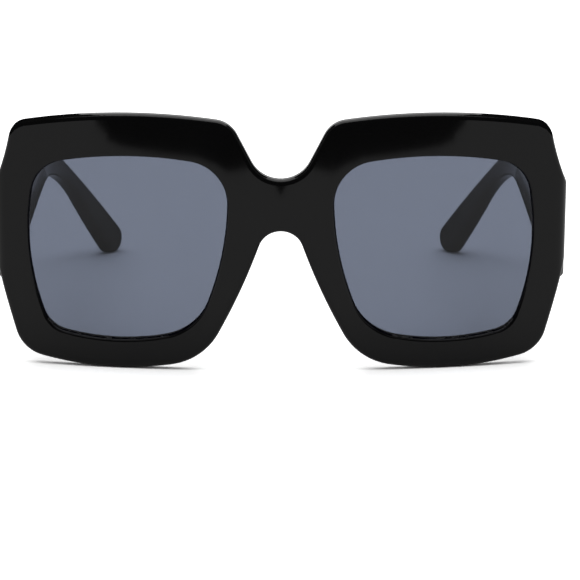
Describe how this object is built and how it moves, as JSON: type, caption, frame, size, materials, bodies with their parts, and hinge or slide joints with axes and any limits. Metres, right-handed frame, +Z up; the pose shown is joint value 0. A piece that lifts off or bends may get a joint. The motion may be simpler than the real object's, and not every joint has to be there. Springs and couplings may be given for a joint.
{
  "type": "sunglasses",
  "caption": "Oversized square sunglasses with a thick one-piece front, flat tinted lenses and wide temples that fold on barrel hinges.",
  "frame": {"origin": "on the table, midway across the front and midway between the front of the brow and the temple tips", "axes": "+X across the face to the wearer's left, +Y back along the temples, +Z up from the table"},
  "size_m": [0.1472, 0.1482, 0.0675],
  "materials": {
    "frame_plastic": "polished black moulded plastic",
    "lens_tint": "clear grey-blue tint, polished both sides",
    "hinge_metal": "satin nickel silver",
    "screw_metal": "bright steel"
  },
  "bodies": {
    "front": {"front_frame": "frame_plastic", "lens_left": "lens_tint", "lens_right": "lens_tint", "front_hinge_left": "hinge_metal", "front_hinge_right": "hinge_metal", "hinge_screw_left": "screw_metal", "hinge_screw_right": "screw_metal"},
    "temple_left": {"temple_left": "frame_plastic", "temple_hinge_left": "hinge_metal"},
    "temple_right": {"temple_right": "frame_plastic", "temple_hinge_right": "hinge_metal"}
  },
  "joints": [
    {"name": "temple_left_fold", "type": "hinge", "parent": "front", "child": "temple_left", "pos_m": [0.06728, -0.05097, 0.03575], "axis": [0, 0, 1], "range_deg": [0, 84.5]},
    {"name": "temple_right_fold", "type": "hinge", "parent": "front", "child": "temple_right", "pos_m": [-0.06728, -0.05097, 0.03575], "axis": [0, 0, -1], "range_deg": [0, 76.5]}
  ]
}
